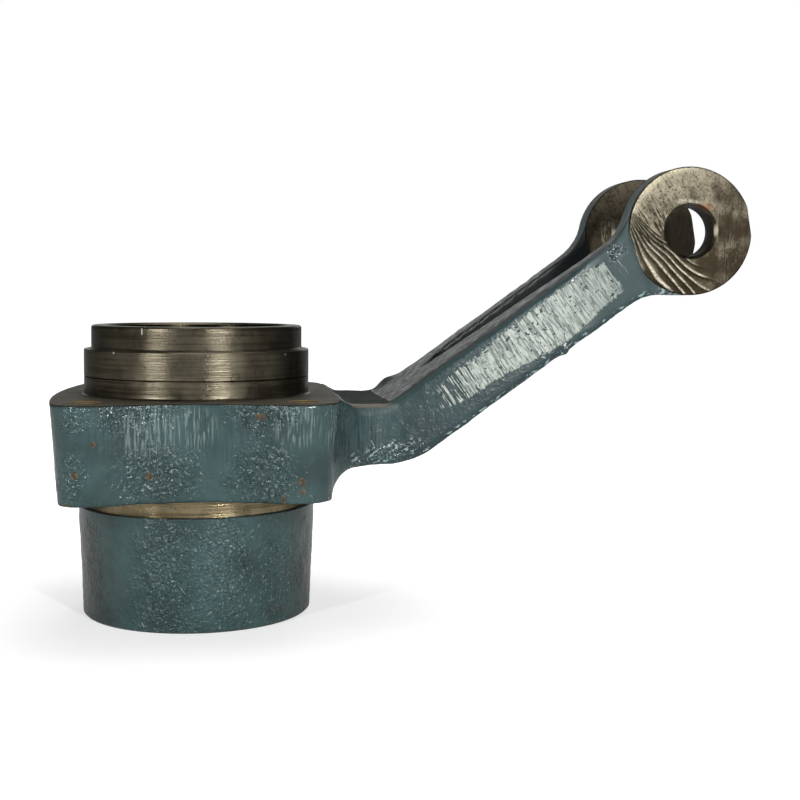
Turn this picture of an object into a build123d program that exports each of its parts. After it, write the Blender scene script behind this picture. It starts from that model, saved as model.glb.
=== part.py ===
# Bearing support: one grey-iron casting, machined where it fits other parts.
# A hub with a drafted sleeve below, a thick bolting flange and a stepped spigot above
# carries a fork on a cranked arm. The fork ends in two bored eyes for a pin.
# Origin on the hub axis at the sleeve's lower rim, +Z up the hub, +X towards the fork. Millimetres.
import os
from math import atan2, cos, degrees, radians, sin, tan
from build123d import *

os.makedirs("parts", exist_ok=True)

# Sleeve: cast, painted, drafted, with a turned edge at its top
sleeve_height = 55.0
sleeve_rim_diameter = 113.6
sleeve_top_diameter = 117.8
sleeve_rim_bevel = 1.0
sleeve_top_bevel = 0.6

# Neck: the bare band turned between sleeve and flange
neck_height = 8.0
neck_diameter = 115.2

# Bolting flange
flange_thickness = 46.6
flange_draft = 4.4
bolt_spacing_x = 100.0
bolt_spacing_y = 122.0
bolt_hole_diameter = 13.0
bolt_hole_chamfer = 0.8
ear_radius = 15.8
rear_left_ear_radius = 12.5
flange_right_margin = 0.7
flange_left_crown = 3.2
flange_left_crown_y = -14.0
scallop_depth = 9.0
scallop_end_gap = 8.0

# Spigot: two turned rings above the flange
spigot_diameter = 112.0
spigot_height = 22.3
spigot_foot_round = 0.9
spigot_edge_bevel = 0.4
groove_rise = 8.9
groove_width = 0.9
groove_depth = 0.7
rim_diameter = 104.8
rim_height = 11.8
rim_foot_bevel = 1.0
rim_edge_round = 1.3

# Bore: a bearing seat at each end and a shoulder between them
upper_seat_diameter = 90.0
upper_seat_depth = 26.0
lower_seat_diameter = 90.0
lower_seat_depth = 26.0
shoulder_bore_diameter = 78.0
seat_chamfer = 1.0
shoulder_chamfer = 1.5

# Fork: two eyes for a pin across the part
pin_reach = 241.8
pin_above_face = 82.4
pin_bore_diameter = 25.0
pin_bore_chamfer = 1.4
eye_radius = 31.7
eye_outer_width = 92.0
eye_gap = 63.0
eye_flat_distance = 30.7
eye_flat_angle = 9.5

# The raw casting stands this much proud of each milled eye face
milling_allowance = 0.5
milled_edge_distance = 30.0
milled_edge_angle = 21.0

# Arm: a level root, then a crank, then a straight rise to the pin
root_ledge = 2.0
root_step_run = 5.0
root_top_drop = 2.8
root_underside_rise = 13.0
root_underside_slope = 3.0
root_underside_blend = 13.0
root_sweep_run = 21.5
root_sweep_radius = 30.0
root_sweep_angle = 70.0
crank_run = 27.5
crank_rise = 24.6
crank_top_radius = 20.0
crank_underside_radius = 45.0
blade_above_line = 17.1
blade_below_line = 12.5
arm_cross_fall = 3.0
arm_edge_round = 3.0
eye_neck_radius = 32.0
neck_reach = 60.0
eye_toe_radius = 25.0

# Slot: opens at a tip in the arm and widens to the gap between the eyes
slot_tip_run = 24.0
slot_tip_radius = 1.5
slot_knee_run = 13.0
slot_knee_y = 20.0
slot_knee_radius = 8.0
slot_parallel_run = 51.8

# The raw arm ends this share of the eye radius short of the pin, inside the eye
arm_end_share = 0.6

# Limits for picking the arm's long edges
edge_slack = 0.1
upright_share = 0.99
rim_share = 0.9

# Heights and widths worked out from the sizes above
flange_base_z = sleeve_height + neck_height
flange_face_z = flange_base_z + flange_thickness
spigot_top_z = flange_face_z + spigot_height
top_z = spigot_top_z + rim_height
flange_middle_z = flange_face_z - flange_thickness / 2
bolt_x = bolt_spacing_x / 2
bolt_y = bolt_spacing_y / 2
flange_right_reach = bolt_x + ear_radius + flange_right_margin
flange_left_reach = bolt_x + ear_radius + flange_left_crown
pin_height = flange_face_z + pin_above_face
cast_half_width = eye_outer_width / 2 + milling_allowance
cast_half_gap = eye_gap / 2 - milling_allowance
root_start_x = (upper_seat_diameter + spigot_diameter) / 4
root_step_x = flange_right_reach + root_ledge
root_blend_x = root_step_x + root_sweep_run
root_top_z = flange_face_z - root_top_drop
root_underside_z = flange_base_z + root_underside_rise
crank_centre_x = root_step_x + crank_run
crank_centre_z = flange_base_z + crank_rise
arm_angle = degrees(atan2(pin_height - crank_centre_z, pin_reach - crank_centre_x))
slot_tip_x = root_blend_x + slot_tip_run
slot_knee_x = slot_tip_x + slot_knee_run
slot_parallel_x = pin_reach - slot_parallel_run
beyond = pin_reach + eye_radius


def hub_profile():
    """Half section of the hub, from the sleeve's rim up to the top of the spigot."""
    rim_r = sleeve_rim_diameter / 2
    top_r = sleeve_top_diameter / 2
    neck_r = neck_diameter / 2
    spigot_r = spigot_diameter / 2
    upper_r = rim_diameter / 2
    foot_r = spigot_r + 2 * spigot_foot_round
    groove_z = flange_face_z + groove_rise
    with BuildSketch(Plane.XZ) as sketch:
        with BuildLine():
            Polyline(
                (0, 0),
                (rim_r - sleeve_rim_bevel, 0),
                (rim_r, sleeve_rim_bevel),
                (top_r, sleeve_height - sleeve_top_bevel),
                (top_r - sleeve_top_bevel, sleeve_height),
                (neck_r, sleeve_height),
                (neck_r, flange_middle_z),
                (foot_r, flange_middle_z),
                (foot_r, flange_face_z),
                (spigot_r, flange_face_z),
                (spigot_r, groove_z - groove_width / 2),
                (spigot_r - groove_depth, groove_z),
                (spigot_r, groove_z + groove_width / 2),
                (spigot_r, spigot_top_z - spigot_edge_bevel),
                (spigot_r - spigot_edge_bevel, spigot_top_z),
                (upper_r + rim_foot_bevel, spigot_top_z),
                (upper_r, spigot_top_z + rim_foot_bevel),
                (upper_r, top_z),
                (0, top_z),
                close=True,
            )
        make_face()
        fillet(sketch.vertices().sort_by_distance((spigot_r, flange_face_z))[0], spigot_foot_round)
        fillet(sketch.vertices().sort_by_distance((upper_r, top_z))[0], rim_edge_round)
    return sketch.sketch


def bore_profile():
    """Half section of what is bored out of the hub."""
    upper_r = upper_seat_diameter / 2
    lower_r = lower_seat_diameter / 2
    shoulder_r = shoulder_bore_diameter / 2
    upper_z = top_z - upper_seat_depth
    with BuildSketch(Plane.XZ) as sketch:
        with BuildLine():
            Polyline(
                (0, 0),
                (lower_r + seat_chamfer, 0),
                (lower_r, seat_chamfer),
                (lower_r, lower_seat_depth),
                (shoulder_r + shoulder_chamfer, lower_seat_depth),
                (shoulder_r, lower_seat_depth + shoulder_chamfer),
                (shoulder_r, upper_z - shoulder_chamfer),
                (shoulder_r + shoulder_chamfer, upper_z),
                (upper_r, upper_z),
                (upper_r, top_z - seat_chamfer),
                (upper_r + seat_chamfer, top_z),
                (0, top_z),
                close=True,
            )
        make_face()
    return sketch.sketch


def flange_outline(inset):
    """Plan of the flange: an ear round each bolt hole, hollow fronts and a crowned left side."""
    diagonal = sin(radians(45))
    right = flange_right_reach - inset
    left_crown = (inset - flange_left_reach, flange_left_crown_y)

    def ear(side_x, side_y, across, along, radius):
        """A point on an ear's rim, in shares of its radius from the bolt hole."""
        rim = radius - inset
        return (side_x * (bolt_x + across * rim), side_y * (bolt_y + along * rim))

    def scallop(side_y, left_radius):
        """The hollow between two ears, as the ends and the middle of an arc."""
        end_x = bolt_x - scallop_end_gap
        crest = bolt_y + ear_radius - scallop_depth - inset
        left_end = (-end_x, side_y * (bolt_y + left_radius - inset))
        right_end = (end_x, side_y * (bolt_y + ear_radius - inset))
        return left_end, (0, side_y * crest), right_end

    front = scallop(-1, ear_radius)
    rear = scallop(1, rear_left_ear_radius)
    with BuildSketch() as sketch:
        with BuildLine():
            ThreePointArc(
                ear(-1, -1, 1, 0, ear_radius),
                ear(-1, -1, diagonal, diagonal, ear_radius),
                ear(-1, -1, 0, 1, ear_radius),
            )
            Line(ear(-1, -1, 0, 1, ear_radius), front[0])
            ThreePointArc(*front)
            Line(front[2], ear(1, -1, 0, 1, ear_radius))
            ThreePointArc(
                ear(1, -1, 0, 1, ear_radius),
                ear(1, -1, diagonal, diagonal, ear_radius),
                (right, -bolt_y),
            )
            Line((right, -bolt_y), (right, bolt_y))
            ThreePointArc(
                (right, bolt_y),
                ear(1, 1, diagonal, diagonal, ear_radius),
                ear(1, 1, 0, 1, ear_radius),
            )
            Line(ear(1, 1, 0, 1, ear_radius), rear[2])
            ThreePointArc(rear[2], rear[1], rear[0])
            Line(rear[0], ear(-1, 1, 0, 1, rear_left_ear_radius))
            ThreePointArc(
                ear(-1, 1, 0, 1, rear_left_ear_radius),
                ear(-1, 1, diagonal, diagonal, rear_left_ear_radius),
                ear(-1, 1, 1, 0, rear_left_ear_radius),
            )
            ThreePointArc(
                ear(-1, 1, 1, 0, rear_left_ear_radius), left_crown, ear(-1, -1, 1, 0, ear_radius)
            )
        make_face()
    return sketch.sketch


def arm_line_z(x, offset):
    """Height of a line at the arm's angle that passes the pin axis at a square distance."""
    rise = tan(radians(arm_angle))
    return pin_height + offset / cos(radians(arm_angle)) + (x - pin_reach) * rise


def arm_line_x(z, offset):
    """Reach at which that same line meets a height."""
    rise = tan(radians(arm_angle))
    return pin_reach + (z - pin_height - offset / cos(radians(arm_angle))) / rise


def blade_top(y):
    """Square distance from the pin axis up to the arm's top at a place across the arm."""
    return blade_above_line - arm_cross_fall / 2 * y / cast_half_width * cos(radians(arm_angle))


def arm_side_view(top):
    """Side view of the arm, short of the eyes' rims apart from the hollow neck and the toe at them."""
    toe_z = pin_height - eye_radius
    fall = tan(radians(root_underside_slope))
    rise = tan(radians(arm_angle))
    low_x = arm_line_x(root_underside_z, -blade_below_line)
    crank_x = low_x + (low_x - root_step_x) * fall / (rise - fall)
    crank_z = arm_line_z(crank_x, -blade_below_line)
    draft = tan(radians(flange_draft))
    side_x = flange_right_reach - (flange_face_z - root_underside_z) * draft
    base_x = flange_right_reach - flange_thickness * draft
    side_z = root_underside_z - (root_step_x - side_x) * fall
    top_crank_x = arm_line_x(root_top_z, top)
    toe_x = arm_line_x(toe_z, -blade_below_line)
    with BuildSketch(Plane.XZ) as sketch:
        with BuildLine():
            Polyline(
                (root_start_x, flange_face_z),
                (root_step_x, flange_face_z),
                (root_step_x + root_step_run, root_top_z),
                (top_crank_x, root_top_z),
                (pin_reach, arm_line_z(pin_reach, top)),
                (pin_reach, toe_z),
                (toe_x, toe_z),
                (crank_x, crank_z),
                (side_x, side_z),
                (base_x, flange_base_z),
                (root_start_x, flange_base_z),
                close=True,
            )
        make_face()
        with Locations((pin_reach, pin_height)):
            Circle(eye_radius)
        neck = (arm_line_x(pin_height, top), pin_height)
        fillet(sketch.vertices().sort_by_distance(neck)[0], eye_neck_radius)
        fillet(sketch.vertices().sort_by_distance((toe_x, toe_z))[0], eye_toe_radius)
        fillet(sketch.vertices().sort_by_distance((crank_x, crank_z))[0], crank_underside_radius)
        fillet(sketch.vertices().sort_by_distance((top_crank_x, root_top_z))[0], crank_top_radius)
        fillet(sketch.vertices().sort_by_distance((side_x, side_z))[0], root_underside_blend)
        inner = eye_radius * arm_end_share
        with Locations((pin_reach - inner, pin_height - inner / 2)):
            Rectangle(beyond, beyond, align=(Align.MIN, Align.MIN), mode=Mode.SUBTRACT)
        with Locations((pin_reach, 0)):
            Rectangle(beyond, 2 * beyond, align=(Align.MIN, Align.MIN), mode=Mode.SUBTRACT)
    return sketch.sketch


def arm_plan():
    """Plan of the arm: it narrows from the flange's width in a hollow sweep, then runs straight."""
    centre_y = cast_half_width + root_sweep_radius
    start_x = root_blend_x - root_sweep_radius * sin(radians(root_sweep_angle))
    start_y = centre_y - root_sweep_radius * cos(radians(root_sweep_angle))
    middle_x = root_blend_x - root_sweep_radius * sin(radians(root_sweep_angle / 2))
    middle_y = centre_y - root_sweep_radius * cos(radians(root_sweep_angle / 2))
    with BuildSketch() as sketch:
        with BuildLine():
            Polyline(
                (start_x, -start_y),
                (root_start_x, -start_y),
                (root_start_x, start_y),
                (start_x, start_y),
            )
            ThreePointArc((start_x, start_y), (middle_x, middle_y), (root_blend_x, cast_half_width))
            Polyline(
                (root_blend_x, cast_half_width),
                (beyond, cast_half_width),
                (beyond, -cast_half_width),
                (root_blend_x, -cast_half_width),
            )
            ThreePointArc((root_blend_x, -cast_half_width), (middle_x, -middle_y), (start_x, -start_y))
        make_face()
    return sketch.sketch


def slot_plan():
    """Plan of the slot: a blunt-sided tip that widens to the gap between the eyes."""
    with BuildSketch() as sketch:
        with BuildLine():
            Polyline(
                (slot_tip_x, 0),
                (slot_parallel_x, -cast_half_gap),
                (beyond + eye_radius, -cast_half_gap),
                (beyond + eye_radius, cast_half_gap),
                (slot_parallel_x, cast_half_gap),
                (slot_knee_x, slot_knee_y),
                close=True,
            )
        make_face()
        fillet(sketch.vertices().sort_by_distance((slot_tip_x, 0, 0))[0], slot_tip_radius)
        fillet(sketch.vertices().sort_by_distance((slot_knee_x, slot_knee_y, 0))[0], slot_knee_radius)
    return sketch.sketch


def make_arm():
    """The raw arm: side view and plan crossed, its top falling a little towards the rear."""
    side = extrude(arm_side_view(blade_top(-cast_half_width)), amount=beyond, both=True)
    plan = extrude(arm_plan(), amount=2 * beyond)
    arm = side & plan
    tilt = arm_cross_fall / (2 * cast_half_width)
    crest = Plane(
        origin=(pin_reach, 0, arm_line_z(pin_reach, blade_above_line)),
        x_dir=(cos(radians(arm_angle)), 0, sin(radians(arm_angle))),
        z_dir=(-sin(radians(arm_angle)), tilt, cos(radians(arm_angle))),
    )
    above_crest = crest * Box(4 * beyond, 4 * beyond, beyond, align=(Align.CENTER, Align.CENTER, Align.MIN))
    above_root = Pos(root_step_x + root_step_run, 0, root_top_z) * Box(
        beyond, 4 * beyond, beyond, align=(Align.MIN, Align.CENTER, Align.MIN)
    )
    arm -= above_crest & above_root
    return fillet(long_edges(arm), arm_edge_round)


def long_edges(arm):
    """The arm's outer edges, top and bottom, from the flange to the eyes."""
    chosen = []
    for edge in arm.edges():
        middle = edge.position_at(0.5)
        from_pin = ((middle.X - pin_reach) ** 2 + (middle.Z - pin_height) ** 2) ** 0.5
        upright = abs(edge.tangent_at(0.5).Z) > upright_share
        outside = abs(middle.Y) > cast_half_width - edge_slack
        on_arm = middle.X > root_step_x + root_step_run and from_pin > rim_share * eye_radius
        if outside and on_arm and not upright:
            chosen.append(edge)
    return chosen


def eye_side_plane(y):
    """Plane of an eye face, its x axis square to the edge of the milled area."""
    lean = radians(milled_edge_angle)
    return Plane(origin=(pin_reach, y, pin_height), x_dir=(cos(lean), 0, sin(lean)), z_dir=(0, -1, 0))


def neck(side):
    """The hollow that carries the top of one blade up into the rim of its eye."""
    inner, outer = sorted((side * eye_gap / 2, side * eye_outer_width / 2))
    body = extrude(arm_side_view(blade_top(outer)), amount=beyond, both=True)
    reach = Pos(pin_reach, inner, root_top_z) * Box(
        neck_reach, outer - inner, beyond, align=(Align.MAX, Align.MIN, Align.MIN)
    )
    return body & reach


def make_fork():
    """Arm, eyes and slot, with the eye faces milled, the end flat ground and the pin bores."""
    eyes = Pos(pin_reach, 0, pin_height) * Rot(90, 0, 0) * Cylinder(eye_radius, eye_outer_width)
    fork = make_arm() + eyes + neck(-1) + neck(1)
    fork -= extrude(slot_plan(), amount=2 * beyond)
    milled = Box(
        2 * eye_radius + milled_edge_distance,
        4 * eye_radius,
        milling_allowance,
        align=(Align.MIN, Align.CENTER, Align.MIN),
    )
    reach = Pos(-milled_edge_distance, 0, 0)
    fork -= eye_side_plane(-eye_outer_width / 2) * reach * milled
    fork -= eye_side_plane(eye_outer_width / 2 + milling_allowance) * reach * milled
    fork -= eye_side_plane(eye_gap / 2) * reach * milled
    fork -= eye_side_plane(-eye_gap / 2 + milling_allowance) * reach * milled
    flat = radians(eye_flat_angle)
    end = Plane(
        origin=(pin_reach + eye_flat_distance * cos(flat), 0, pin_height + eye_flat_distance * sin(flat)),
        z_dir=(cos(flat), 0, sin(flat)),
    )
    fork -= end * Box(
        4 * eye_radius, 2 * eye_outer_width, eye_radius, align=(Align.CENTER, Align.CENTER, Align.MIN)
    )
    across = Pos(pin_reach, 0, pin_height) * Rot(90, 0, 0)
    fork -= across * Cylinder(pin_bore_diameter / 2, 2 * eye_outer_width)
    mouth = Cone(
        pin_bore_diameter / 2 + pin_bore_chamfer,
        pin_bore_diameter / 2,
        pin_bore_chamfer,
        align=(Align.CENTER, Align.CENTER, Align.MIN),
    )
    for side in (-1, 1):
        for face, turn in ((eye_outer_width / 2, 90), (eye_gap / 2, -90)):
            fork -= Pos(pin_reach, side * face, pin_height) * Rot(side * turn, 0, 0) * mouth
    return fork


def make_flange():
    """The drafted flange block, wider at its machined top face."""
    draft = flange_thickness * tan(radians(flange_draft))
    top = Pos(0, 0, flange_face_z) * flange_outline(0)
    base = Pos(0, 0, flange_base_z) * flange_outline(draft)
    return loft([base, top], ruled=True)


def bolt_hole():
    """A bolt hole with its chamfered mouth, its top at the origin."""
    radius = bolt_hole_diameter / 2
    depth = flange_thickness + neck_height
    drill = Cylinder(radius, depth, align=(Align.CENTER, Align.CENTER, Align.MAX))
    mouth = Cone(
        radius, radius + bolt_hole_chamfer, bolt_hole_chamfer, align=(Align.CENTER, Align.CENTER, Align.MAX)
    )
    return drill + mouth


def make_casting():
    """The whole support as one solid."""
    body = revolve(hub_profile(), Axis.Z) + make_flange() + make_fork()
    body -= revolve(bore_profile(), Axis.Z)
    for x in (-bolt_x, bolt_x):
        for y in (-bolt_y, bolt_y):
            body -= Pos(x, y, flange_face_z) * bolt_hole()
    return body


export_step(make_casting(), "parts/support_casting.step")
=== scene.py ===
"""A cast bearing support on a white studio floor: rough grey iron under blue-grey machine enamel,
left bare where it was turned, milled, drilled and filed."""
import math
import bmesh
import bpy
from mathutils import Matrix, Vector, noise


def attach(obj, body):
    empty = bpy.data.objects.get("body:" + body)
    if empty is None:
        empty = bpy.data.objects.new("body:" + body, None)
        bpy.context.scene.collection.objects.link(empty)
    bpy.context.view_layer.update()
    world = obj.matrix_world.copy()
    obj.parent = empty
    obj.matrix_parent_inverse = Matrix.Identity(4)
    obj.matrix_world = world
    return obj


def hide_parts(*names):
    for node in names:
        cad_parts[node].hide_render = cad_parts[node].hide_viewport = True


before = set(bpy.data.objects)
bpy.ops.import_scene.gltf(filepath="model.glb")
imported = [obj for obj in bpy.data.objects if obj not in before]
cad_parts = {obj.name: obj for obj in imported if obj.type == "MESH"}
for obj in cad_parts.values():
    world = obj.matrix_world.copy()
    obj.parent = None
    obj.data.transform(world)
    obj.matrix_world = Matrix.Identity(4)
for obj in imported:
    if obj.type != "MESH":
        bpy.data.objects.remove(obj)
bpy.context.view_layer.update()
MM = 0.001

# Sizes of the casting, in millimetres, as the CAD model has them
NECK_R, SPIGOT_R, RIM_R, SEAT_R, SHOULDER_R = 57.6, 56.0, 52.4, 45.0, 39.0
SLEEVE_TOP, FLANGE_BASE, FLANGE_FACE, SPIGOT_TOP, TOP = 55.0, 63.0, 109.6, 131.9, 143.7
PIN = Vector((241.8, 0.0, 192.0))
PIN_R, EYE_R = 12.5, 31.72
EYE_OUTER, EYE_INNER = 46.0, 31.5
BOLTS = [(x, y) for x in (-50.0, 50.0) for y in (-61.0, 61.0)]
RISE = math.radians(35.6)
BLADE_FLAT, TIP_FLAT = math.radians(21), math.radians(9.5)

# Where the finish changes: each patch has its centre and its reach along X, Y and Z, in millimetres
BRUSHED = [((74, -52, 92), (20, 14, 14)), ((-30, -72, 95), (26, 12, 14)), ((14, -72, 92), (20, 12, 16))]
SHADED_SLEEVE_SIDES = [((-62, 0, 24), (24, 70, 40)), ((64, -6, 22), (18, 44, 36))]
ROUGH = [
    ((-53, -68, 104), (6, 14, 9)), ((-28, -70, 105), (19, 14, 8)), ((31, -70, 105), (15, 14, 9)),
    ((-16, -70, 76), (18, 14, 13)), ((30, -70, 76), (16, 14, 14)), ((92, -46, 80), (24, 10, 6)),
    ((-13, -56, 28), (16, 12, 30)), ((14, -56, 28), (13, 12, 28)), ((38, -44, 22), (10, 14, 28)),
    ((62, -60, 104), (6, 14, 10)), ((-54, -68, 76), (6, 14, 12)), ((203, -46, 181), (4, 10, 6)),
    ((-22, 70, 82), (26, 14, 17)), ((32, 70, 96), (20, 14, 13)), ((0, 57, 26), (46, 18, 26)),
    ((-66, 14, 86), (12, 34, 16)), ((160, 46, 138), (34, 10, 14)),
]
STROKED = [
    ((-21, -70, 97), (13, 12, 12)), ((0, -68, 98), (9, 12, 9)), ((46, -76, 100), (11, 8, 9)),
    ((62, -60, 98), (5, 14, 12)),
]
CRANK_FOOT = [((84, -47, 81.5), (14, 8, 3.4)), ((100, -47, 87), (9, 8, 4))]
RUSTY = [
    ((-45.4, -74, 91.8), (1.5, 9, 1.6)), ((-53.4, -70, 77.9), (1.9, 9, 2.4)), ((-20.8, -70, 76.1), (2.3, 9, 1.8)),
    ((29.5, -70, 103.6), (2.8, 9, 1.8)), ((48.4, -74, 73.4), (1.9, 9, 2.3)), ((48.9, -74, 69.2), (1.3, 9, 1.5)),
    ((-59, -62, 63.3), (9, 16, 1.2)), ((40.9, -41.2, 7.1), (1.5, 4, 1.2)), ((0, 0, 0), (59, 59, 0.9)),
    ((40, -77, 65), (1.2, 9, 3)),
]
# Two punch marks on the spigot's edge and a scratch on the ring above it; the punch marks are painted bright, a
# painted glint in them
MARKED = [
    ((-38.6, -40.6, 131.3), (0.6, 0.9, 0.6)), ((42.4, -36.6, 130.4), (0.5, 0.8, 0.5)),
    ((-25.1, -46, 141.6), (0.22, 0.8, 1.8)),
]
METAL_EDGE = "#D6D6D4"
RING_SIDE_SHADE = "#16120B"


# ---------------------------------------------------------------- materials

def linear(hex_colour):
    """An sRGB hex colour as the linear RGBA that a shader socket takes."""
    channels = [int(hex_colour[i:i + 2], 16) / 255 for i in (1, 3, 5)]
    return tuple(c / 12.92 if c <= 0.04045 else ((c + 0.055) / 1.055) ** 2.4 for c in channels) + (1.0,)


def add(tree, kind, *values, take=None, **named):
    """Adds a shader node and gives back its first output, or the one that take names. Values fill its inputs in
    order. A named value is a setting, or with a capital the input of that name. A string there is a hex colour."""
    made = tree.nodes.new("ShaderNode" + kind)
    for name, value in named.items():
        if name[0].islower():
            setattr(made, name, value)
    filled = list(zip([socket for socket in made.inputs if socket.enabled], values))
    filled += [(made.inputs[name.replace("_", " ")], value) for name, value in named.items() if name[0].isupper()]
    for socket, value in filled:
        if isinstance(value, bpy.types.NodeSocket):
            tree.links.new(value, socket)
        else:
            socket.default_value = linear(value) if isinstance(value, str) else value
    return made.outputs[take] if take else next((socket for socket in made.outputs if socket.enabled), None)


def times(tree, *factors):
    """The product of several factors. A tuple is a soft ramp: a value, where the ramp starts and ends, and what it
    runs from and to, which is 0 and 1 unless given. It is held at both ends."""
    product = None
    for factor in factors:
        if isinstance(factor, tuple):
            value, start, end, low, high = (*factor, 0.0, 1.0)[:5]
            factor = add(tree, "MapRange", value, start, end, low, high, interpolation_type="SMOOTHSTEP")
        product = factor if product is None else add(tree, "Math", product, factor, operation="MULTIPLY")
    return product


def coat(tree, under, over, *factors):
    """Lays one colour over another, as strongly as the product of the factors says."""
    return add(tree, "Mix", times(tree, *factors), under, over, data_type="RGBA")


def millimetres(tree):
    """Where a point is on the part, in millimetres."""
    return add(tree, "VectorMath", add(tree, "TexCoord", take="Object"), 1000.0, operation="SCALE")


def from_axis(tree, place, axis_x, axis_z):
    """A point's offset from an axis that runs along Y."""
    return add(tree, "VectorMath", place, (1, 0, 1), (-axis_x, 0, -axis_z), operation="MULTIPLY_ADD")


def grain(tree, place, size, stretch=(1, 1, 1), detail=2.0, roughness=0.5):
    """Noise of one grain size in millimetres, drawn out along an axis by stretch."""
    spread = add(tree, "Mapping", place, Scale=tuple(1 / (size * s) for s in stretch))
    return add(tree, "TexNoise", spread, 1.0, detail, roughness)


def unsteady(tree, place, size, reach):
    """The same place moved about by noise, so that what is drawn on it gets a ragged border."""
    shift = add(tree, "TexNoise", place, 1 / size, 2.0, take="Color")
    centred = add(tree, "VectorMath", shift, (0.5, 0.5, 0.5), operation="SUBTRACT")
    return add(tree, "VectorMath", centred, (reach, reach, reach), place, operation="MULTIPLY_ADD")


def patches(tree, place, spots, soft=0.5):
    """1 inside any of several ellipsoids, given by centre and reach, and 0 outside, with a soft border."""
    best = None
    for centre, reach in spots:
        share = tuple(1 / r for r in reach)
        shift = tuple(-c / r for c, r in zip(centre, reach))
        local = add(tree, "VectorMath", place, share, shift, operation="MULTIPLY_ADD")
        from_centre = add(tree, "VectorMath", local, operation="LENGTH")
        one = times(tree, (from_centre, 1 + soft / 2, 1 - soft / 2))
        best = one if best is None else add(tree, "Math", best, one, operation="MAXIMUM")
    return best


def along_arm(tree, place):
    """The same place in the arm's own directions: along it, from side to side, and up across it."""
    along = add(tree, "VectorMath", place, (math.cos(RISE), 0, math.sin(RISE)), operation="DOT_PRODUCT")
    _, y, _ = add(tree, "SeparateXYZ", place).node.outputs
    across = add(tree, "VectorMath", place, (-math.sin(RISE), 0, math.cos(RISE)), operation="DOT_PRODUCT")
    return add(tree, "CombineXYZ", along, y, across)


def edge_line(tree, along, *ramps):
    """How an edge of the file patch runs along the arm: the sum of ramps, each with its ends and its heights."""
    line = None
    for ramp in ramps:
        one = times(tree, (along, *ramp))
        line = one if line is None else add(tree, "Math", line, one, operation="ADD")
    return line


def empty_material(name):
    """A material without nodes, and its tree."""
    material = bpy.data.materials.new(name)
    material.use_nodes = True
    material.node_tree.nodes.clear()
    return material, material.node_tree


def brushed_paint(tree, place, loose, brushed, brush_area):
    """The enamel's tint: darker and greener in the hollows of the brushwork, with painted shade on the root's near
    face and at the sleeve's sides.
    """
    x, y, _ = add(tree, "SeparateXYZ", place).node.outputs
    broad = grain(tree, place, 24)
    fine = grain(tree, place, 4, detail=3, roughness=0.6)
    paint = coat(tree, "#293D3D", "#3B5353", (broad, 0.25, 0.75))
    paint = coat(tree, paint, "#4E6868", (fine, 0.5, 0.8, 0, 0.3))
    # The brushwork is darker still on the root's near face, past x 66 mm; that extra darkness is painted shade
    paint = coat(tree, paint, "#1C2E33", brush_area, (brushed, 0.42, 0.62), (x, 58, 66, 0.3, 0.75))
    # Painted shade: the sleeve's left and right sides are darkened brown
    sleeve_side_shade = patches(tree, loose, SHADED_SLEEVE_SIDES, soft=1.2)
    paint = coat(tree, paint, "#1B1714", sleeve_side_shade, (fine, 0.35, 0.65, 0.45, 0.95))
    # The arm's near side is painted darker: painted shade
    return coat(tree, paint, "#14252B", (x, 76, 112), (y, -41, -44), 0.45)


def sand_crust(tree, place, rough, drag):
    """Height of the sand's grain under the paint, strong in patches and on the sleeve, with the brush's drag."""
    _, _, z = add(tree, "SeparateXYZ", place).node.outputs
    plain = times(tree, (z, 49, 51, 0.3, 0.1))
    grit = add(tree, "Math", grain(tree, place, 1.8), 0.5, operation="SUBTRACT")
    grit = times(tree, grit, add(tree, "Mix", rough, plain, 0.75))
    crumb = times(tree, (grain(tree, place, 2.2, detail=1), 0.5, 0.64))
    crumb = times(tree, crumb, add(tree, "Mix", rough, times(tree, plain, 0.2), 0.36))
    return add(tree, "Math", add(tree, "Math", grit, crumb, operation="ADD"), drag, operation="ADD")


def file_patch(tree, on_arm, stripes):
    """1 where a file wore through the paint on the arm's near side, ragged where single strokes run out."""
    along, y, across = add(tree, "SeparateXYZ", on_arm).node.outputs
    stroke = grain(tree, on_arm, 1.5, stretch=(1, 1, 5))
    ragged = add(tree, "Math", grain(tree, on_arm, 8), 7.0, -8.0, operation="MULTIPLY_ADD")
    ragged = add(tree, "Math", stroke, 9.0, ragged, operation="MULTIPLY_ADD")
    low = edge_line(tree, along, (150, 172, 17.0, 12.6), (182, 224, 0, -5.2), (230, 262, 0, 3.4))
    high = edge_line(tree, along, (150, 170, 24.0, 27.5), (188, 222, 0, 2.2), (256, 270, 0, -4))
    low_side = add(tree, "Math", ragged, 0.35, across, operation="MULTIPLY_ADD")
    high_side = add(tree, "Math", ragged, 0.5, across, operation="MULTIPLY_ADD")
    far_end = add(tree, "Math", ragged, 0.5, along, operation="MULTIPLY_ADD")
    above = add(tree, "Math", low_side, low, operation="SUBTRACT")
    below = add(tree, "Math", high, high_side, operation="SUBTRACT")
    cover = times(tree, (along, 140, 204), (far_end, 265, 261.5))
    worn = add(tree, "Math", stripes, add(tree, "Mix", cover, 0.68, 0.22), operation="SUBTRACT")
    return times(tree, (above, -0.5, 0.5), (below, -0.5, 0.5), (worn, -0.03, 0.03), (y, -45.2, -45.8))


def filed_iron(tree, on_arm, scratches, stripes):
    """Grey iron under the file: striped, with pits the file did not reach; its bright colour is partly the iron's own
    and partly a painted reflection, greyer towards the eye.
    """
    along, _, _ = add(tree, "SeparateXYZ", on_arm).node.outputs
    metal = coat(tree, "#5D6964", "#BCC3BB", (scratches, 0.36, 0.6))
    metal = coat(tree, metal, "#54605C", (stripes, 0.36, 0.46, 0.6, 0))
    metal = coat(tree, metal, "#6C7672", (along, 222, 262, 0, 0.42))
    small_pits = times(tree, (grain(tree, on_arm, 1.7, detail=1), 0.655, 0.68))
    large_pits = times(tree, (grain(tree, on_arm, 3.4), 0.68, 0.7))
    return coat(tree, metal, "#2A3836", add(tree, "Math", small_pits, large_pits, operation="MAXIMUM"))


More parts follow.
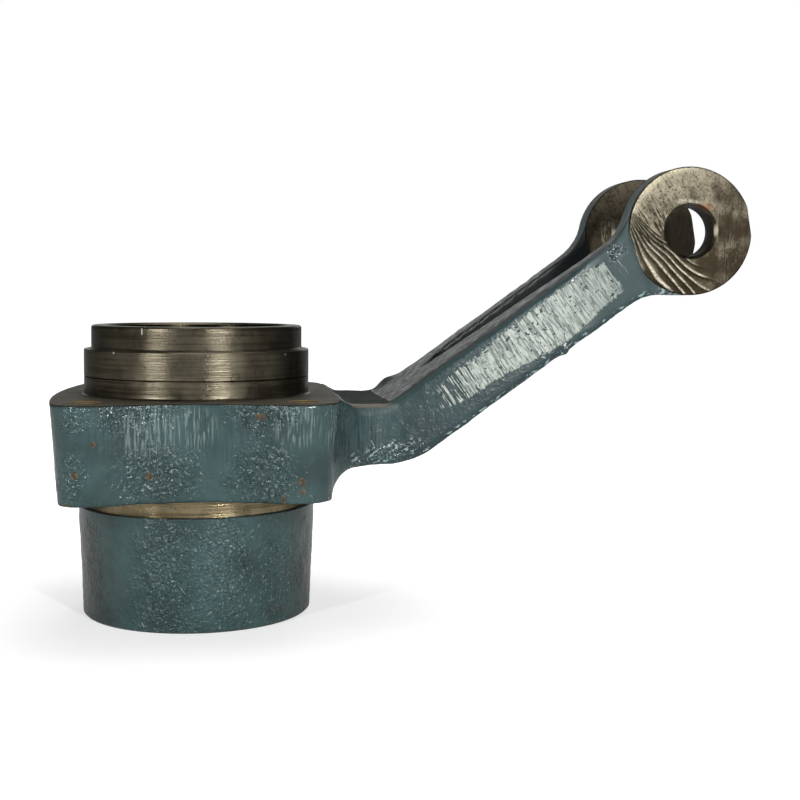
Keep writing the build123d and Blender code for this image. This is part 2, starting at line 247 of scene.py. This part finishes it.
def scratched_paint(tree, paint, place, on_arm):
    """Short strokes that only scratch the paint on the flange's front, and light specks along the arm's foot."""
    x, y, _ = add(tree, "SeparateXYZ", place).node.outputs
    _, _, across = add(tree, "SeparateXYZ", on_arm).node.outputs
    strokes = grain(tree, place, 0.85, stretch=(1, 1, 26))
    stroke_area = patches(tree, place, STROKED, soft=0.8)
    paint = coat(tree, paint, "#A3B4B2", (strokes, 0.47, 0.64), stroke_area, 0.36)
    foot = times(tree, (across, 5.6, 4.6), (x, 96, 104))
    foot = add(tree, "Math", foot, patches(tree, place, CRANK_FOOT, soft=0.8), operation="MAXIMUM")
    dots = grain(tree, on_arm, 1.5, stretch=(1.8, 1, 1))
    return coat(tree, paint, "#A9BCBE", (dots, 0.56, 0.64), foot, (y, -38, -43), 0.75)


def drilled_places(tree, place):
    """1 on bare metal, where drills and cutters passed: the bolt holes, the pin bore, the flange's faced top."""
    x, _, z = add(tree, "SeparateXYZ", place).node.outputs
    holes = patches(tree, place, [((hole_x, hole_y, 90), (7.4, 7.4, 90)) for hole_x, hole_y in BOLTS], soft=0.06)
    pin_bore = patches(tree, place, [((PIN.x, 0, PIN.z), (14.3, 400, 14.3))], soft=0.03)
    bare = times(tree, (z, 109.35, 109.5), (x, 69.5, 68.5))
    for drilled in (times(tree, holes, (z, 70, 100)), pin_bore):
        bare = add(tree, "Math", bare, drilled, operation="MAXIMUM")
    return bare


def enamel_on_casting(name, dull_and_shaded=False):
    """Alkyd machine enamel brushed over a sand-cast skin: glossy, uneven in tint, with the sand's grain
    showing through as orange peel. Worn through to grey iron by a file on the arm, with rust where it chipped."""
    material, tree = empty_material(name)
    place = millimetres(tree)
    x, y, z = add(tree, "SeparateXYZ", place).node.outputs
    _, facing_y, facing_z = add(tree, "SeparateXYZ", add(tree, "TexCoord", take="Normal")).node.outputs
    loose = unsteady(tree, place, 7, 16)
    on_arm = along_arm(tree, place)
    brushed = grain(tree, place, 1.3, stretch=(1, 1, 16))
    brush_area = patches(tree, loose, BRUSHED, soft=0.9)
    paint = brushed_paint(tree, place, loose, brushed, brush_area)

    # Dust lies on what faces up; the darkening there is also painted shade on the tops
    dust = grain(tree, place, 3.5, stretch=(1.6, 1.6, 1), detail=4, roughness=0.65)
    dust_and_shade = times(tree, (facing_z, 0.25, 0.7), (dust, 0.35, 0.62, 0.35, 0.95))
    paint = coat(tree, paint, "#282621", dust_and_shade)

    # Inside the slot the paint is darkened almost to black, as painted shade
    to_middle = add(tree, "Math", y, facing_y, operation="MULTIPLY")
    slot_wall = times(tree, (to_middle, 0, -3), (x, 118, 124))
    paint = coat(tree, paint, "#080F0F", slot_wall, 0.93)

    # The sand's grain shows through, with painted glints on its crests, but not in the slot
    rough = patches(tree, loose, ROUGH, soft=1.0)
    crest_glints = times(tree, (grain(tree, place, 1.3), 0.61, 0.7), rough)
    paint = coat(tree, paint, "#8FA3A4", crest_glints, (z, 49, 51, 0.42, 0.56))
    drag = times(tree, add(tree, "Math", brushed, 0.5, operation="SUBTRACT"), brush_area, 0.22)
    skin_height = add(tree, "Mix", slot_wall, sand_crust(tree, place, rough, drag), 0.0)
    colour = scratched_paint(tree, paint, place, on_arm)

    # The matt lip along the near edge of the root's top, with a painted sheen
    lip = patches(tree, place, [((80, -46, 105.2), (13, 4.5, 3.0))], soft=1.0)
    colour = coat(tree, colour, "#6A6353", lip, (z, 104.8, 105.8, 0.0, 0.65))

    # Rust and chips
    eaten = patches(tree, place, RUSTY, soft=1.2)
    eaten = add(tree, "Math", grain(tree, place, 1.4, detail=3), 0.9, eaten, operation="MULTIPLY_ADD")
    rust = times(tree, (eaten, 0.95, 1.2))
    rust_tint = coat(tree, "#3B2D1C", "#695637", (grain(tree, place, 2.2), 0.4, 0.6))
    colour = coat(tree, colour, rust_tint, rust, 0.85)

    # Bare iron: filed on the arm and drilled in the holes, painted darker further down the holes and in the pin bore
    # as painted shade
    scratches = grain(tree, on_arm, 0.6, stretch=(1, 1, 9), detail=3, roughness=0.7)
    stripes = grain(tree, on_arm, 1.1, stretch=(1, 1, 16))
    filed = file_patch(tree, on_arm, stripes)
    colour = coat(tree, colour, filed_iron(tree, on_arm, scratches, stripes), filed)
    bare = drilled_places(tree, place)
    drilled_tint = coat(tree, "#17140D", "#6F5F3E", (z, 107.6, 108.6), (x, 75, 70))
    colour = coat(tree, colour, drilled_tint, bare)
    # The root's top platform is painted dark all over: painted shade
    if dull_and_shaded:
        shade_grain = grain(tree, place, 3, stretch=(2, 2, 1), detail=4)
        colour = coat(tree, "#121412", "#1F2928", (shade_grain, 0.4, 0.65))

    # Glossy where the paint is thick or rough, duller towards the eye, on the lip and under grime
    roughness = 0.25
    for where, value in ((times(tree, (x, 184, 200)), 0.6), (lip, 0.7), (dust_and_shade, 0.6), (rough, 0.15),
                         (slot_wall, 0.38)):
        roughness = add(tree, "Mix", where, roughness, value)
    if dull_and_shaded:
        roughness = 0.8
    for where, value in ((filed, 0.5), (rust, 0.75), (bare, 0.45)):
        roughness = add(tree, "Mix", where, roughness, value)
    metallic = times(tree, add(tree, "Math", filed, bare, operation="MAXIMUM"), 0.25)
    height = add(tree, "Mix", filed, skin_height, times(tree, scratches, 0.3))
    bump = add(tree, "Bump", Height=height, Distance=1.3 * MM, Strength=1.0)
    shader = add(tree, "BsdfPrincipled", Base_Color=colour, Roughness=roughness, Metallic=metallic, Normal=bump,
                 IOR=1.5, Specular_IOR_Level=0.15 if dull_and_shaded else 0.5)
    add(tree, "OutputMaterial", shader)
    return material


def turned_iron(name, dark, light, line=0.35, metallic=1.0, low=0.2, high=0.3, marks=(), rims=(), ends=0.0):
    """Grey iron turned on a lathe and handled: rings of tool marks, brown where oil has dried on it. Real rings are
    too fine to show, so line is a coarser width in millimetres. Ends says how dark its two sides are painted, as
    painted shade."""
    material, tree = empty_material(name)
    place = millimetres(tree)
    stain = grain(tree, place, 9, stretch=(1, 1, 1.6), detail=4, roughness=0.6)
    lines = grain(tree, place, line, stretch=(90, 90, 1))
    wide_lines = grain(tree, place, 1.3, stretch=(40, 40, 1))
    colour = coat(tree, dark, light, (stain, 0.38, 0.62, 0.4, 0.7))
    colour = coat(tree, colour, dark, (wide_lines, 0.45, 0.65, 0, 0.6))
    # Painted shade: both sides darkened by ends, and the upper ring a little darker
    if ends:
        x, _, z = add(tree, "SeparateXYZ", place).node.outputs
        colour = coat(tree, colour, RING_SIDE_SHADE, (z, 132, 132.8, 0, 0.32))
        colour = coat(tree, colour, RING_SIDE_SHADE, (add(tree, "Math", x, operation="ABSOLUTE"), 36, 52, 0, ends))
    pits = times(tree, (grain(tree, place, 1.0, detail=1), 0.71, 0.74))
    colour = coat(tree, colour, "#14120C", pits, 0.8)
    if marks:
        # The marks are painted near white; for the punch marks that is a painted glint
        colour = coat(tree, colour, "#E9E4D2", patches(tree, place, marks, soft=0.6))
    if rims:
        worn_rims = patches(tree, place, [((rim_x, rim_y, 109), (7.5, 7.5, 9)) for rim_x, rim_y in rims], soft=0.06)
        colour = coat(tree, colour, "#6B5A38", worn_rims)
    height = add(tree, "Math", lines, times(tree, pits, -1.2), operation="ADD")
    bump = add(tree, "Bump", Height=height, Distance=0.1 * MM, Strength=1.0)
    shader = add(tree, "BsdfPrincipled", Base_Color=colour, Metallic=metallic, Specular_Tint=METAL_EDGE, Normal=bump,
                 Roughness=times(tree, (stain, 0.3, 0.7, low, high)))
    add(tree, "OutputMaterial", shader)
    return material


def milled_iron():
    """Grey iron faced with a coarse cutter: steel grey mottled brown, with arcs of tool marks."""
    material, tree = empty_material("milled_grey_iron")
    place = millimetres(tree)
    x, y, z = add(tree, "SeparateXYZ", place).node.outputs
    off_pin = from_axis(tree, place, PIN.x, PIN.z)
    from_pin = add(tree, "VectorMath", off_pin, operation="LENGTH")
    from_middle = add(tree, "Math", y, operation="ABSOLUTE")
    stain = grain(tree, place, 10, detail=5, roughness=0.62)
    speck = grain(tree, place, 1.4, detail=3, roughness=0.6)

    # The face is painted lighter towards the upper left and darker towards the lower right, a painted highlight,
    # mottled by stains
    upper_left = add(tree, "VectorMath", off_pin, (-1, 0, 1), operation="DOT_PRODUCT")
    worn = add(tree, "Math", times(tree, (upper_left, -30, 46, -0.1, 0.22)), stain, operation="ADD")
    colour = coat(tree, "#292319", "#6E6859", (worn, 0.32, 0.84))
    colour = coat(tree, colour, "#241E13", (speck, 0.5, 0.68, 0, 0.7))

    # The cutter's ridges: oil in their hollows, and painted highlights on their crests, broken up
    crest = add(tree, "Attribute", attribute_name="crest", take="Fac")
    colour = coat(tree, colour, "#241C10", (crest, -0.02, -0.3, 0, 0.75))
    colour = coat(tree, colour, "#B2AC98", (crest, 0.1, 0.4, 0, 0.95), (speck, 0.36, 0.56, 0.3, 1.0))

    # Coarse strokes of the cutter: arcs about a far centre, and short dark ones left of the bore
    swing = from_axis(tree, place, 304.0, 275.0)
    swing_x, _, swing_z = add(tree, "SeparateXYZ", swing).node.outputs
    turn = times(tree, add(tree, "Math", swing_z, swing_x, operation="ARCTAN2"), 12.0)
    swept = add(tree, "CombineXYZ", add(tree, "VectorMath", swing, operation="LENGTH"), y, turn)
    arcs = grain(tree, swept, 0.8, stretch=(1, 6, 1), detail=3, roughness=0.6)
    upright = grain(tree, place, 0.8, stretch=(1, 6, 10), detail=3, roughness=0.6)
    lean = add(tree, "Math", z, 0.55, x, operation="MULTIPLY_ADD")
    steep = add(tree, "CombineXYZ", lean, y, times(tree, z, 0.12))
    slashes = grain(tree, steep, 0.9, stretch=(1, 6, 1), roughness=0.6)
    slashed = patches(tree, place, [((224, -46, 192), (14, 9, 12))], soft=0.8)
    slashed = times(tree, slashed, (slashes, 0.54, 0.6))
    marks = add(tree, "Mix", times(tree, (x, 244, 256)), arcs, upright)
    colour = coat(tree, colour, "#221C12", (marks, 0.52, 0.64, 0, 0.45))
    colour = coat(tree, colour, "#1F190F", slashed, 0.75)

    # The inner faces are darker; a painted shadow of the near eye lies on the far eye, which has one worn spot
    colour = coat(tree, colour, "#1B160C", (from_middle, 40, 36), 0.75)
    near_eye_shadow = patches(tree, place, [((269, 31.5, 196), (18, 6, 18))], soft=0.4)
    colour = coat(tree, colour, "#0E0B06", near_eye_shadow, 0.8)
    far_worn = patches(tree, place, [((228, 31.5, 190), (7, 6, 9))], soft=0.9)
    colour = coat(tree, colour, "#A39C86", far_worn, (upright, 0.5, 0.58))

    # Round the near bore: a painted glint on its chamfer, rust above it at the right, a chip above it
    glint = patches(tree, place, [((255.0, -46, 192.6), (0.8, 3, 2.6))], soft=1.2)
    colour = coat(tree, colour, "#E4DABC", glint, 0.6)
    orange = patches(tree, place, [((248.6, -46, 203.6), (4.2, 6, 1.8))], soft=0.9)
    colour = coat(tree, colour, "#6B4529", orange, (speck, 0.3, 0.5), 0.55)
    chip = patches(tree, unsteady(tree, place, 3, 3), [((240.5, -46, 206.3), (6.5, 6, 1.3))], soft=0.9)
    colour = coat(tree, colour, "#A09D90", chip, (speck, 0.4, 0.55), 0.45)

    # The rim: a painted highlight at the upper left, with a dark outline all round
    colour = coat(tree, colour, "#A9A28C", (from_pin, 27.5, 31), (upper_left, 22, 38), (from_middle, 43, 45),
                  (speck, 0.35, 0.6, 0.05, 0.6))
    colour = coat(tree, colour, "#17130C", (from_pin, 31.0, 31.4))

    height = add(tree, "Math", marks, times(tree, slashed, 0.6), operation="SUBTRACT")
    bump = add(tree, "Bump", Height=height, Distance=0.22 * MM, Strength=1.0)
    shader = add(tree, "BsdfPrincipled", Base_Color=colour, Metallic=0.9, Specular_Tint=METAL_EDGE, Normal=bump,
                 Roughness=times(tree, (speck, 0.3, 0.7, 0.36, 0.5)))
    add(tree, "OutputMaterial", shader)
    return material


ENAMEL = enamel_on_casting("enamel_on_sand_casting")
SHADED_DULL_ENAMEL = enamel_on_casting("dull_enamel_in_painted_shade", dull_and_shaded=True)
RINGS = turned_iron("turned_grey_iron", "#453F33", "#787262", low=0.26, high=0.36, ends=0.5, marks=MARKED)
NECK = turned_iron("turned_iron_oil_film_and_painted_shade", "#544A33", "#B0A282", line=0.5, ends=0.93)
# The bore is painted dark: painted shade inside it
BORE = turned_iron("bore_iron_in_painted_shade", "#211E15", "#3B3729", line=0.5)
FLANGE_TOP = turned_iron("faced_grey_iron", "#2C281F", "#4A4437", line=0.8, metallic=0.4, low=0.55, high=0.7,
                         rims=BOLTS)
MILLED = milled_iron()


# ---------------------------------------------------------------- pieces

def loose_object(name, bm):
    """Makes a linked object of a bmesh, and frees the bmesh."""
    mesh = bpy.data.meshes.new(name)
    bm.to_mesh(mesh)
    bm.free()
    made = bpy.data.objects.new(name, mesh)
    bpy.context.collection.objects.link(made)
    return made


def piece(name, bm, materials, crease=32):
    """Makes an object of a bmesh, smooth but for its sharp edges, that rides on the casting."""
    bmesh.ops.recalc_face_normals(bm, faces=bm.faces)
    made = loose_object(name, bm)
    for material in materials:
        made.data.materials.append(material)
    made.data.polygons.foreach_set("use_smooth", [True] * len(made.data.polygons))
    made.data.set_sharp_from_angle(angle=math.radians(crease))
    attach(made, "root")
    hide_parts("support_casting")
    return made


def arc(centre, radius, start, end, steps=4):
    """Points on an arc in a profile, angles in degrees."""
    turns = [math.radians(start + (end - start) * i / steps) for i in range(steps + 1)]
    return [(centre[0] + radius * math.cos(t), centre[1] + radius * math.sin(t)) for t in turns]


def profile(points):
    """A closed profile of (radius, height) points in millimetres, ready to be spun about Z."""
    bm = bmesh.new()
    verts = [bm.verts.new((r * MM, 0, z * MM)) for r, z in points]
    for a, b in zip(verts, verts[1:] + verts[:1]):
        bm.edges.new((a, b))
    return bm


def spin_about_z(bm, steps):
    """Turns a profile all the way round Z."""
    bmesh.ops.spin(bm, geom=bm.verts[:] + bm.edges[:], cent=(0, 0, 0), axis=(0, 0, 1),
                   angle=2 * math.pi, steps=steps, use_merge=True)
    bmesh.ops.remove_doubles(bm, verts=bm.verts, dist=1e-7)


def cut_away(bm, origin, normal):
    """Cuts off what lies beyond a plane, its origin in metres, and gives back the edges of the cut."""
    geom = bm.verts[:] + bm.edges[:] + bm.faces[:]
    made = bmesh.ops.bisect_plane(bm, geom=geom, plane_co=origin, plane_no=normal, clear_outer=True)
    return [part for part in made["geom_cut"] if isinstance(part, bmesh.types.BMEdge)]


def merged_casting():
    """A copy of the CAD casting's mesh with its loose triangles joined."""
    bm = bmesh.new()
    bm.from_mesh(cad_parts["support_casting"].data)
    bmesh.ops.remove_doubles(bm, verts=bm.verts, dist=0.002 * MM)
    return bm


def skin(place, scale):
    """Height of the sand-cast skin at a point, in millimetres: broad lumps with small ones on them."""
    p = Vector(place) / MM
    return scale * (0.35 * noise.noise(p / 19) + 0.22 * noise.noise(p / 7) + 0.13 * noise.noise(p / 3))


def smooth_step(value, low, high):
    """A soft ramp from 0 to 1."""
    t = min(1.0, max(0.0, (value - low) / (high - low)))
    return t * t * (3 - 2 * t)


def bump_at(place, centre, width):
    """A rounded bump, 1 at its centre and near 0 past its width. A width of None leaves that axis out."""
    return math.exp(-sum(((p - c) / w) ** 2 for p, c, w in zip(place, centre, width) if w))


def hub():
    """The sleeve, the neck, the spigot, its upper ring and the bore, turned as one closed profile."""
    sleeve = [(46.0, 0.0), (55.8, 0.0), (56.8, 1.0), (58.9, 54.4), (58.3, SLEEVE_TOP), (NECK_R, SLEEVE_TOP)]
    neck = [(NECK_R, 64.0), (55.6, 64.0), (55.6, 109.0), (57.0, 109.0)] + arc((57.0, 110.6), 1.0, -90, -180)
    groove = [(SPIGOT_R, 118.2), (55.5, 118.5), (SPIGOT_R, 118.8)]
    ring = [(SPIGOT_R, 131.5), (55.6, SPIGOT_TOP), (53.4, SPIGOT_TOP), (RIM_R, 132.9)] + arc((51.1, 142.4), 1.3, 0, 90)
    upper_bore = [(46.0, TOP), (SEAT_R, 142.7), (SEAT_R, 117.7), (40.5, 117.7), (SHOULDER_R, 116.2)]
    lower_bore = [(SHOULDER_R, 27.5), (40.5, 26.0), (SEAT_R, 26.0), (SEAT_R, 1.0)]
    bm = profile(sleeve + neck + groove + ring + upper_bore + lower_bore)
    cast_side = [e for e in bm.edges
                 if abs(e.verts[0].co.z - e.verts[1].co.z) > 50 * MM and e.verts[0].co.x > 56 * MM]
    bmesh.ops.subdivide_edges(bm, edges=cast_side, cuts=54)
    tall = [e for e in bm.edges if e.calc_length() > 3 * MM and e.verts[0].co.x > 50 * MM]
    bmesh.ops.subdivide_edges(bm, edges=tall, cuts=5)
    spin_about_z(bm, 360)
    bmesh.ops.recalc_face_normals(bm, faces=bm.faces)
    for v in bm.verts:
        radius, z = math.hypot(v.co.x, v.co.y) / MM, v.co.z / MM
        if radius > 56.3 and z < 55.5:
            share = smooth_step(z, 0.3, 4) * (1 - smooth_step(z, 48.5, 50.5))
            v.co += v.normal * skin(v.co, share) * MM
    enamel, neck_iron, ring_iron, bore_iron = range(4)
    for face in bm.faces:
        middle = face.calc_center_median()
        radius, z = math.hypot(middle.x, middle.y) / MM, middle.z / MM
        if radius < SEAT_R + 0.3 and z > 0.9:
            face.material_index = bore_iron
        elif radius < 50 or z < 0.05:
            face.material_index = ring_iron
        elif SLEEVE_TOP - 0.05 < z < 66:
            face.material_index = neck_iron
        else:
            face.material_index = ring_iron if z > SLEEVE_TOP else enamel
    return piece("hub_and_spigot", bm, [ENAMEL, NECK, RINGS, BORE])


def cast_body():
    """The flange, the arm and the fork: the CAD solid less its hub, remeshed and given a sand-cast skin."""
    body = loose_object("raw_casting", merged_casting())
    # What the turned hub stands for is cut out first, a hair past both faces of the flange
    throat, wide, hair = 55.2, 63, 0.02
    base, top = FLANGE_BASE - hair, FLANGE_FACE + hair
    bm = profile([(0.01, -5), (wide, -5), (wide, base), (throat, base), (throat, top), (wide, top), (wide, 150),
                  (0.01, 150)])
    spin_about_z(bm, 180)
    bmesh.ops.recalc_face_normals(bm, faces=bm.faces)
    cutter = loose_object("hub_cutter", bm)
    cut = body.modifiers.new("hub_out", "BOOLEAN")
    cut.operation, cut.solver, cut.object = "DIFFERENCE", "EXACT", cutter
    remesh = body.modifiers.new("even_skin", "REMESH")
    remesh.mode, remesh.voxel_size, remesh.adaptivity = "VOXEL", 1.2 * MM, 0.0
    evaluated = body.evaluated_get(bpy.context.evaluated_depsgraph_get())
    bm = bmesh.new()
    bm.from_mesh(evaluated.to_mesh())
    for leftover in (body, cutter):
        bpy.data.objects.remove(leftover, do_unlink=True)
    bmesh.ops.smooth_vert(bm, verts=bm.verts, factor=0.5, use_axis_x=True, use_axis_y=True, use_axis_z=True)
    bm.normal_update()
    under_face = 0.35
    for v in bm.verts:
        p = v.co / MM
        # Machined places stay true; the filed side and the slot have less skin
        from_pin = math.hypot(p.x - PIN.x, p.z - PIN.z)
        past_blade = (p.x - PIN.x) * math.cos(BLADE_FLAT) + (p.z - PIN.z) * math.sin(BLADE_FLAT) > -30.6
        flat = abs(v.normal.y) > 0.6
        share = 1 - smooth_step(p.z, 107.6, 108.6) * (1 - smooth_step(p.x, 66, 69))
        share *= smooth_step(math.hypot(p.x, p.y), 58, 60)
        if past_blade and from_pin < 33 and flat:
            share = 0.0
        if p.x > 118 and p.y * v.normal.y < -0.5:
            share *= 0.3
        if p.x > 110 and v.normal.y < -0.8 and p.y < -40:
            share *= 0.3
        v.co += v.normal * skin(v.co, share) * MM
        # A lump of the mould at the far side of the crank, and a nib under the near blade
        if v.normal.z > 0.2 and p.z > 100:
            v.co.z += 3.2 * bump_at(p, (100.5, 43, 0), (6, 7, None)) * MM
        v.co += v.normal * 1.4 * bump_at(p, (178.8, -45, 132.6), (2.2, 3, 3)) * MM
        # The milled and faced surfaces lie under their own pieces
        if past_blade and from_pin < 32.5 and flat:
            v.co.y -= math.copysign(under_face, v.normal.y) * MM
        if p.z > 109.0 and p.x < 68.2 and v.normal.z > 0.5:
            v.co.z -= under_face * MM
    for face in bm.faces:
        x, y, z = face.calc_center_median() / MM
        root_top = 70.5 < x < 93 and abs(y) < 43.5 and 105 < z < 109 and face.normal.z > 0.7
        face.material_index = int(root_top)
    return piece("cast_body", bm, [ENAMEL, SHADED_DULL_ENAMEL], crease=60)


def faced_flange():
    """The flange's faced top, a thin slab cut from the CAD solid so that its edge stays crisp."""
    bm = merged_casting()
    below, above, arm_root = FLANGE_FACE - 0.5, FLANGE_FACE + 0.05, 68.3
    for origin, normal in (((0, 0, below), (0, 0, -1)), ((0, 0, above), (0, 0, 1)), ((arm_root, 0, 0), (1, 0, 0))):
        edges = cut_away(bm, Vector(origin) * MM, normal)
        bmesh.ops.triangle_fill(bm, edges=edges, use_beauty=True)
    return piece("faced_flange_top", bm, [FLANGE_TOP], crease=25)


def ridge_height(x, z):
    """The coarse cutter ridges that fan out over the lower left of an eye face, in millimetres."""
    dx, dz = x - 208.0, 204.0 - z
    reach = math.hypot(dx, dz)
    seen = math.degrees(math.atan2(dz, dx))
    turn = seen + 0.22 * (reach - 20)
    fan = smooth_step(seen, 34, 42) * smooth_step(reach, 2.5, 8) * (1 - 0.6 * smooth_step(reach, 42, 64))
    beat = turn / 5.4 + 0.55 * noise.noise(Vector((x, 0, z)) / 14) + 0.25 * math.sin(turn / 7)
    saw = beat - math.floor(beat)
    return fan * ((saw / 0.75 if saw < 0.75 else (1 - saw) / 0.25) - 0.45)


def eye_face(name, y, outward, ridged):
    """One milled face of an eye: a thin washer with a rounded rim and the pin bore's chamfer."""
    rows, steps = (88, 480) if ridged else (44, 240)
    chamfer_r, flat_r = 13.9, 31.2
    front = [(chamfer_r + (flat_r - chamfer_r) * i / rows, 0.06) for i in range(rows + 1)]
    rim = [(31.5, -0.05), (EYE_R, -0.35), (EYE_R, -1.2)]
    bm = profile([(PIN_R, -1.34)] + front + rim + [(PIN_R, -1.8)])
    spin_about_z(bm, steps)
    turn = Matrix.Rotation(math.radians(90 if outward < 0 else -90), 4, "X")
    centre = Matrix.Translation((PIN.x * MM, y * MM, PIN.z * MM))
    bmesh.ops.transform(bm, matrix=centre @ turn, verts=bm.verts)
    blade_side = Vector((-math.cos(BLADE_FLAT), 0, -math.sin(BLADE_FLAT)))
    tip_side = Vector((math.cos(TIP_FLAT), 0, math.sin(TIP_FLAT)))
    for normal, distance in ((blade_side, 30.0), (tip_side, 30.75)):
        bmesh.ops.holes_fill(bm, edges=cut_away(bm, (PIN + normal * distance) * MM, normal))
    crest = bm.verts.layers.float.new("crest")
    for v in bm.verts:
        p = v.co / MM
        proud = (p.y - y) * outward
        if proud > 0 and math.hypot(p.x - PIN.x, p.z - PIN.z) < flat_r + 0.1:
            lift = 0.05 * noise.noise(p / 4)
            if ridged:
                v[crest] = ridge_height(p.x, p.z)
                lift += 0.5 * v[crest]
            v.co.y += outward * lift * MM
    return piece(name, bm, [MILLED], crease=30)


hub()
cast_body()
faced_flange()
eye_face("near_eye_outer_face", -EYE_OUTER, -1, True)
eye_face("near_eye_inner_face", -EYE_INNER, 1, False)
eye_face("far_eye_inner_face", EYE_INNER, -1, False)
eye_face("far_eye_outer_face", EYE_OUTER, 1, False)


# ---------------------------------------------------------------- studio

def seen_white(tree, share):
    """1 for the camera's own rays, and a share for those that metal or glass sends on."""
    rays = add(tree, "LightPath").node.outputs
    mirrored = add(tree, "Math", rays["Is Glossy Ray"], rays["Is Transmission Ray"], operation="ADD")
    return add(tree, "Math", rays["Is Camera Ray"], times(tree, mirrored, share), operation="ADD", use_clamp=True)


def studio_floor():
    """A matt white sweep. To the camera it is lifted to white, so only the shadow on it shows."""
    bm = bmesh.new()
    bmesh.ops.create_grid(bm, x_segments=2, y_segments=2, size=30.0)
    floor = loose_object("floor", bm)
    material, tree = empty_material("matt_white_paper")
    away = add(tree, "VectorMath", add(tree, "TexCoord", take="Object"), operation="LENGTH")
    strength = times(tree, seen_white(tree, 0.25), (away, 0.05, 0.25, 0.6, 1.0))
    paper = add(tree, "BsdfDiffuse", "#ABABAB")
    lift = add(tree, "Emission", "#FFFFFF", strength)
    add(tree, "OutputMaterial", add(tree, "AddShader", paper, lift))
    floor.data.materials.append(material)


def studio_light():
    """A grey room with a white backdrop behind the part, two tall strip softboxes, one overhead and a fill from
    the rear that metal does not mirror."""
    world = bpy.data.worlds.new("studio")
    world.use_nodes = True
    tree = world.node_tree
    tree.nodes.clear()
    toward = add(tree, "TexCoord", take="Generated")
    behind = add(tree, "VectorMath", toward, (0.138, 0.989, 0.05), operation="DOT_PRODUCT")
    _, _, height = add(tree, "SeparateXYZ", toward).node.outputs
    wide, narrow = math.cos(math.radians(34)), math.cos(math.radians(20))
    backdrop = times(tree, (behind, wide, narrow), (height, 0.06, 0.13))
    room = add(tree, "Background", "#FFFFFF", 0.13)
    paper = add(tree, "Background", "#FFFFFF", 1.0)
    add(tree, "OutputWorld", add(tree, "MixShader", seen_white(tree, backdrop), room, paper))
    bpy.context.scene.world = world
    # Each lamp's name, place and size in metres, and power in watts
    for name, place, size, watts in (
        ("left_strip", (-0.86, -0.98, 0.48), (0.07, 0.55), 8.5),
        ("right_strip", (0.51, -1.20, 0.48), (0.06, 0.55), 12.6),
        ("overhead", (0.15, 0.35, 1.6), (0.9, 0.9), 10.5),
        ("rear_fill", (0.55, 1.40, 0.75), (0.9, 0.6), 9.0),
    ):
        light = bpy.data.lights.new(name, "AREA")
        light.shape, light.size, light.size_y, light.energy = "RECTANGLE", size[0], size[1], watts
        lamp = bpy.data.objects.new(name, light)
        lamp.location = place
        lamp.visible_glossy = name != "rear_fill"
        aim = Vector((0.05, 0, 0.11)) - Vector(place)
        lamp.rotation_euler = aim.to_track_quat("-Z", "Y").to_euler()
        bpy.context.collection.objects.link(lamp)


def camera():
    """The photograph's camera, solved from the turned circles and the flange's edges."""
    picture, sensor, focal = 800, 36.0, 1312.9745
    centre_x, centre_y = 400.587, 362.4413
    view = bpy.data.cameras.new("camera")
    view.sensor_width, view.lens = sensor, sensor * focal / picture
    view.shift_x, view.shift_y = (picture / 2 - centre_x) / picture, (centre_y - picture / 2) / picture
    view.clip_start, view.clip_end = 0.01, 100
    right = Vector((0.99034994, -0.1384216, 0.00681544))
    up = Vector((0.00063377, 0.05370008, 0.99855691))
    ahead = Vector((0.13858783, 0.98891646, -0.05326959))
    made = bpy.data.objects.new("camera", view)
    turn = Matrix((right, up, -ahead)).transposed().to_4x4()
    made.matrix_world = Matrix.Translation((0.0096638, -0.6719315, 0.1606744)) @ turn
    bpy.context.collection.objects.link(made)
    bpy.context.scene.camera = made


studio_floor()
studio_light()
camera()
bpy.context.scene.view_settings.view_transform = "Standard"

bpy.context.view_layer.update()
